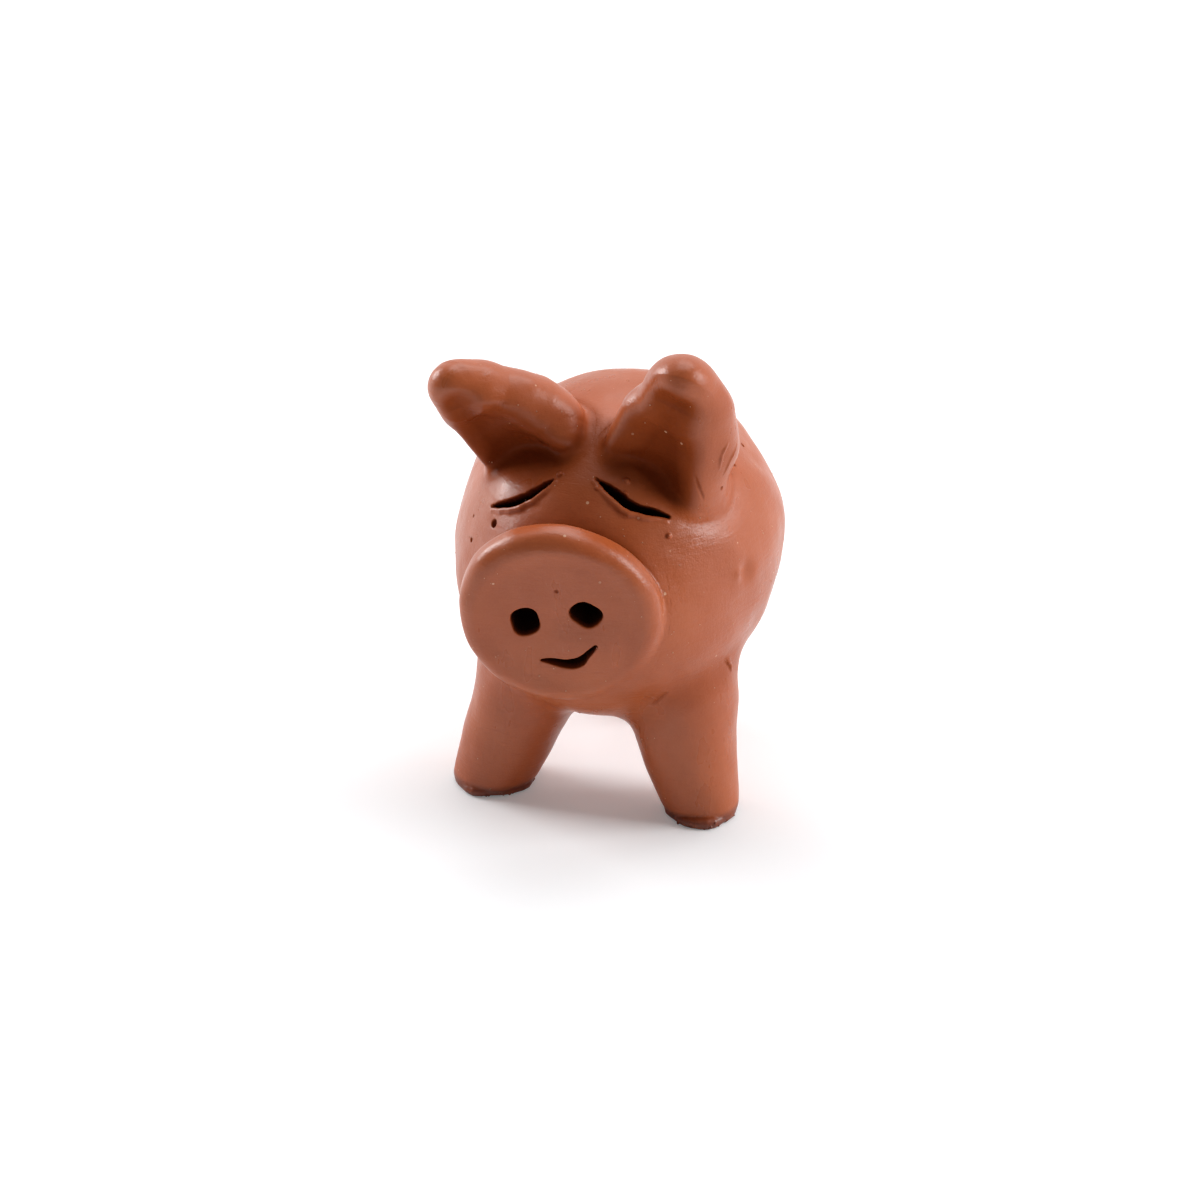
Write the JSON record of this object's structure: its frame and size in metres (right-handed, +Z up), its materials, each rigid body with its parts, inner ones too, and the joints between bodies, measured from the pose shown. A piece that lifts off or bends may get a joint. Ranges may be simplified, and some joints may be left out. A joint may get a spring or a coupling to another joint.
{
  "type": "pig figurine",
  "caption": "Small solid terracotta pig ornament that stands on three short legs, with an egg-shaped body, a flat snout disc, pricked ears and a curled tail.",
  "frame": {"origin": "middle of the footprint of the whole figurine's box, on the surface that it stands on", "axes": "+Z up, -Y the way the pig looks, +X the pig's left"},
  "size_m": [0.0272, 0.0342, 0.0412],
  "materials": {
    "terracotta": "burnished by hand and left unglazed, with a soft satin sheen"
  },
  "bodies": {
    "root": {"body": "terracotta", "snout_disc": "terracotta", "ear_left": "terracotta", "ear_right": "terracotta", "front_leg_left": "terracotta", "front_leg_right": "terracotta", "rear_leg": "terracotta", "tail": "terracotta"}
  },
  "joints": []
}
